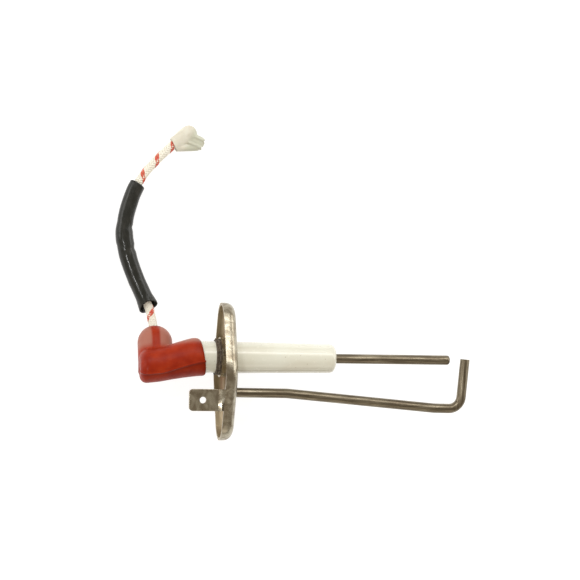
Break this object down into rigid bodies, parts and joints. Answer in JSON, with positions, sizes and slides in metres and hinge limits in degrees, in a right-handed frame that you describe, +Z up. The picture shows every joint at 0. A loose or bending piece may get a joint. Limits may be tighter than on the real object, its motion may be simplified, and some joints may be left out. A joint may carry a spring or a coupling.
{
  "type": "flame sensor probe",
  "caption": "Ceramic flame sensing electrode on a pressed oval flange, with a hooked earth rod, earth tab, silicone elbow boot and short braided lead.",
  "frame": {"origin": "centre of the flange's two-hole bolt pattern, on its mounting face", "axes": "+X along the rods towards the flame, +Y along the flange's long axis, +Z up when the part lies on the flange's long edge"},
  "size_m": [0.1048, 0.0922, 0.023],
  "materials": {
    "nickel_plate": "bright nickel plate, slightly worn",
    "dark_packing": "dull",
    "alumina": "satin",
    "rod_steel": "drawn wire, oxidised",
    "stud_steel": "turned",
    "cement": "matte",
    "weld_metal": "as welded",
    "red_silicone": "semi-gloss",
    "tinned_brass": "tinned",
    "spring_steel": "bright",
    "milky_cover": "translucent",
    "black_sleeving": "satin",
    "glass_braid": "varnished glass braid with a red tracer",
    "copper_strand": "tinned strand"
  },
  "bodies": {
    "electrode": {"mounting_flange": "nickel_plate", "collar_packing": "dark_packing", "insulator": "alumina", "probe_rod": "rod_steel", "terminal_stud": "stud_steel", "tip_cement": "cement", "rear_cement": "cement", "earth_rod": "rod_steel", "earth_rod_weld": "weld_metal"},
    "ring": {"snap_ring": "spring_steel"},
    "lead": {"elbow_boot": "red_silicone", "snap_clip": "tinned_brass", "lead_wire_lower": "glass_braid", "lead_wire_upper": "glass_braid", "lead_core_lower": "copper_strand", "lead_core_upper": "copper_strand", "splice_barrel": "tinned_brass", "insulation_sleeve": "black_sleeving", "flag_terminal": "tinned_brass", "terminal_cover": "milky_cover"}
  },
  "joints": [
    {"name": "boot_pull", "type": "slide", "parent": "electrode", "child": "ring", "axis": [-1, 0, 0], "range_m": [0, 0.014]},
    {"name": "boot_swivel", "type": "hinge", "parent": "ring", "child": "lead", "pos_m": [-0.0165, 0.00415, 0], "axis": [1, 0, 0], "continuous": true}
  ]
}
